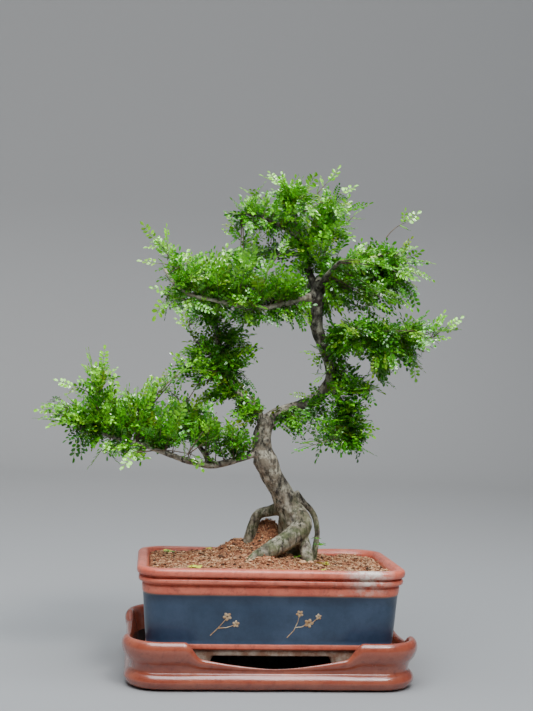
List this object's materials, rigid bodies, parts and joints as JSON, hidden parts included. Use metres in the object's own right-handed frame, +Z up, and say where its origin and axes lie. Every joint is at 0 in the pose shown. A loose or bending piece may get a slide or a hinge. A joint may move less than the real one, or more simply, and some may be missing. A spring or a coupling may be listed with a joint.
{
  "type": "chinese pepper bonsai in a pot on a saucer",
  "caption": "Bonsai tree with a curved trunk, exposed roots and fine feathery foliage, in a rectangular glazed pot on a matching lipped drip saucer.",
  "frame": {"origin": "centre of the saucer's flat underside, on the surface that it stands on", "axes": "+Z up the tree; +X to the right along the pot's long side; +Y away from the viewer, across the pot"},
  "size_m": [0.6143, 0.272, 0.7267],
  "materials": {
    "saucer_glaze": "glossy red-brown glazed stoneware",
    "pot_glaze": "dark blue glaze below a bare red-brown stoneware rim",
    "drain_mesh": "black plastic mesh",
    "soil": "loose brown fibrous soil, matte",
    "bark": "grey-brown cracked bark with some moss",
    "leaf": "glossy green leaflets, paler at the shoot tips"
  },
  "bodies": {
    "root": {"drain_screen_left": "drain_mesh", "drain_screen_right": "drain_mesh", "drip_saucer": "saucer_glaze", "pot_glazed_stoneware": "pot_glaze", "soil_in_pot": "soil", "spray_column_1": "leaf", "spray_column_2": "leaf", "spray_column_3": "leaf", "spray_crown_1": "leaf", "spray_crown_2": "leaf", "spray_crown_3": "leaf", "spray_crown_4": "leaf", "spray_crown_5": "leaf", "spray_crown_6": "leaf", "spray_east_high_1": "leaf", "spray_east_high_2": "leaf", "spray_east_high_3": "leaf", "spray_east_high_4": "leaf", "spray_east_low_1": "leaf", "spray_east_low_2": "leaf", "spray_east_low_3": "leaf", "spray_east_low_4": "leaf", "spray_east_low_5": "leaf", "spray_east_mid_1": "leaf", "spray_east_mid_2": "leaf", "spray_east_mid_3": "leaf", "spray_east_mid_4": "leaf", "spray_east_mid_5": "leaf", "spray_east_mid_6": "leaf", "spray_heart_1": "leaf", "spray_heart_2": "leaf", "spray_heart_3": "leaf", "spray_heart_4": "leaf", "spray_heart_5": "leaf", "spray_west_high_1": "leaf", "spray_west_high_2": "leaf", "spray_west_high_3": "leaf", "spray_west_high_4": "leaf", "spray_west_high_5": "leaf", "spray_west_low_1": "leaf", "spray_west_low_2": "leaf", "spray_west_low_3": "leaf", "spray_west_low_4": "leaf", "spray_west_low_5": "leaf", "spray_west_low_6": "leaf", "spray_west_mid_1": "leaf", "spray_west_mid_2": "leaf", "spray_west_mid_3": "leaf", "spray_west_mid_4": "leaf", "spray_west_mid_5": "leaf", "tree_trunk_roots_branches": "bark"}
  },
  "joints": []
}
